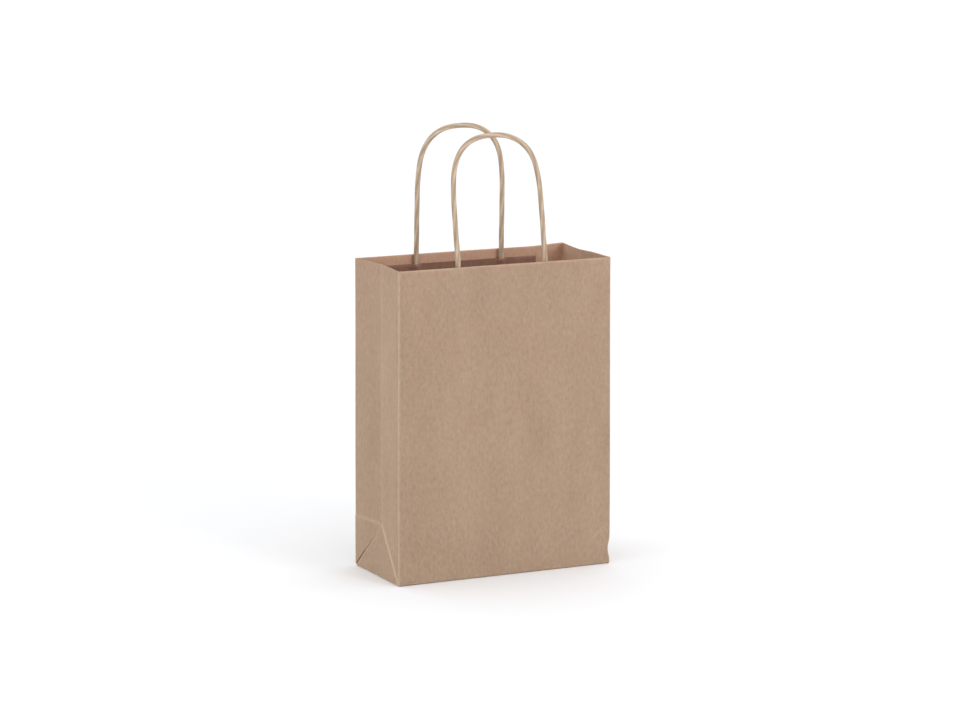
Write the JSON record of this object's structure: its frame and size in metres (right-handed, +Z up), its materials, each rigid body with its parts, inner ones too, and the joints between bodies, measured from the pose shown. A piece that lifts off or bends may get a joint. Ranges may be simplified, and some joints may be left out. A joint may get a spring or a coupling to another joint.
{
  "type": "gift bag",
  "caption": "Plain brown kraft paper gift bag with side gussets, a folded block base and two twisted paper cord handles.",
  "frame": {"origin": "middle of the base, on the floor", "axes": "+X to the right across the front face, +Y from the front face to the back face, +Z up"},
  "size_m": [0.18, 0.0802, 0.3397],
  "materials": {
    "kraft": "matte",
    "cord": "matte"
  },
  "bodies": {
    "front": {"front_panel": "kraft", "front_patch_outer_ply": "kraft", "front_patch_inner_ply": "kraft", "front_handle_leg_left": "cord", "front_handle_leg_right": "cord"},
    "left_gusset_front": {"left_gusset_front": "kraft"},
    "left_gusset_rear": {"left_gusset_rear": "kraft"},
    "back": {"back_panel": "kraft", "back_patch_outer_ply": "kraft", "back_patch_inner_ply": "kraft", "back_handle_leg_left": "cord", "back_handle_leg_right": "cord"},
    "back_lower": {"back_lower_panel": "kraft"},
    "base": {"base_rear_flap": "kraft", "base_front_flap": "kraft", "base_end_flap_left": "kraft", "base_end_flap_right": "kraft"},
    "right_gusset_front": {"right_gusset_front": "kraft", "side_seam": "kraft"},
    "right_gusset_rear": {"right_gusset_rear": "kraft"},
    "left_corner": {"left_rear_corner": "kraft"},
    "right_corner": {"right_rear_corner": "kraft"},
    "left_foot": {"left_foot": "kraft"},
    "right_foot": {"right_foot": "kraft"},
    "front_handle": {"front_handle_loop": "cord"},
    "back_handle": {"back_handle_loop": "cord"}
  },
  "joints": [
    {"name": "left_gusset_fold", "type": "hinge", "parent": "front", "child": "left_gusset_front", "pos_m": [-0.0897, -0.03978, 0.12], "axis": [0, 0, -1], "range_deg": [0, 73.5]},
    {"name": "left_gusset_crease", "type": "hinge", "parent": "left_gusset_front", "child": "left_gusset_rear", "pos_m": [-0.08547, 0, 0.12], "axis": [0, 0, -1], "range_deg": [-147, 0]},
    {"name": "back_panel_fold", "type": "hinge", "parent": "left_gusset_rear", "child": "back", "pos_m": [-0.0897, 0.03978, 0.12], "axis": [0, 0, -1], "range_deg": [0, 73.5]},
    {"name": "back_crease", "type": "hinge", "parent": "back", "child": "back_lower", "pos_m": [0, 0.04008, 0.04], "axis": [1, 0, 0], "range_deg": [0, 134.48]},
    {"name": "base_fold", "type": "hinge", "parent": "back_lower", "child": "base", "pos_m": [0, 0.03978, 0.0003], "axis": [1, 0, 0], "range_deg": [-76.7, 0]},
    {"name": "right_gusset_fold", "type": "hinge", "parent": "front", "child": "right_gusset_front", "pos_m": [0.0897, -0.03978, 0.12], "axis": [0, 0, 1], "range_deg": [0, 73.5]},
    {"name": "right_gusset_crease", "type": "hinge", "parent": "right_gusset_front", "child": "right_gusset_rear", "pos_m": [0.08547, 0, 0.12], "axis": [0, 0, 1], "range_deg": [-147, 0]},
    {"name": "left_corner_fold", "type": "hinge", "parent": "back_lower", "child": "left_corner", "pos_m": [-0.0897, 0.03978, 0.02], "axis": [0, 0, 1], "range_deg": [0, 82], "deforming": ["left_rear_corner"]},
    {"name": "right_corner_fold", "type": "hinge", "parent": "back_lower", "child": "right_corner", "pos_m": [0.0897, 0.03978, 0.02], "axis": [0, 0, -1], "range_deg": [0, 82], "deforming": ["right_rear_corner"]},
    {"name": "left_foot_fold", "type": "hinge", "parent": "base", "child": "left_foot", "pos_m": [-0.0897, 0, 0.0015], "axis": [0, 1, 0], "range_deg": [0, 80]},
    {"name": "right_foot_fold", "type": "hinge", "parent": "base", "child": "right_foot", "pos_m": [0.0897, 0, 0.0015], "axis": [0, -1, 0], "range_deg": [0, 80]},
    {"name": "front_handle_tilt", "type": "hinge", "parent": "front", "child": "front_handle", "pos_m": [-0.0024, -0.03688, 0.243], "axis": [1, 0, 0], "range_deg": [0, 90]},
    {"name": "back_handle_tilt", "type": "hinge", "parent": "back", "child": "back_handle", "pos_m": [-0.0024, 0.03688, 0.243], "axis": [-1, 0, 0], "range_deg": [0, 90]}
  ],
  "couplings": [
    {"joint": "left_gusset_crease", "follows": "left_gusset_fold", "ratio": -2},
    {"joint": "back_panel_fold", "follows": "left_gusset_fold", "ratio": 1},
    {"joint": "back_crease", "follows": "left_gusset_fold", "ratio": 1.8296},
    {"joint": "base_fold", "follows": "left_gusset_fold", "ratio": -1.0435},
    {"joint": "right_gusset_fold", "follows": "left_gusset_fold", "ratio": 1},
    {"joint": "right_gusset_crease", "follows": "left_gusset_fold", "ratio": -2},
    {"joint": "left_corner_fold", "follows": "left_gusset_fold", "ratio": 1.1156},
    {"joint": "right_corner_fold", "follows": "left_gusset_fold", "ratio": 1.1156},
    {"joint": "left_foot_fold", "follows": "left_gusset_fold", "ratio": 1.0884},
    {"joint": "right_foot_fold", "follows": "left_gusset_fold", "ratio": 1.0884}
  ]
}
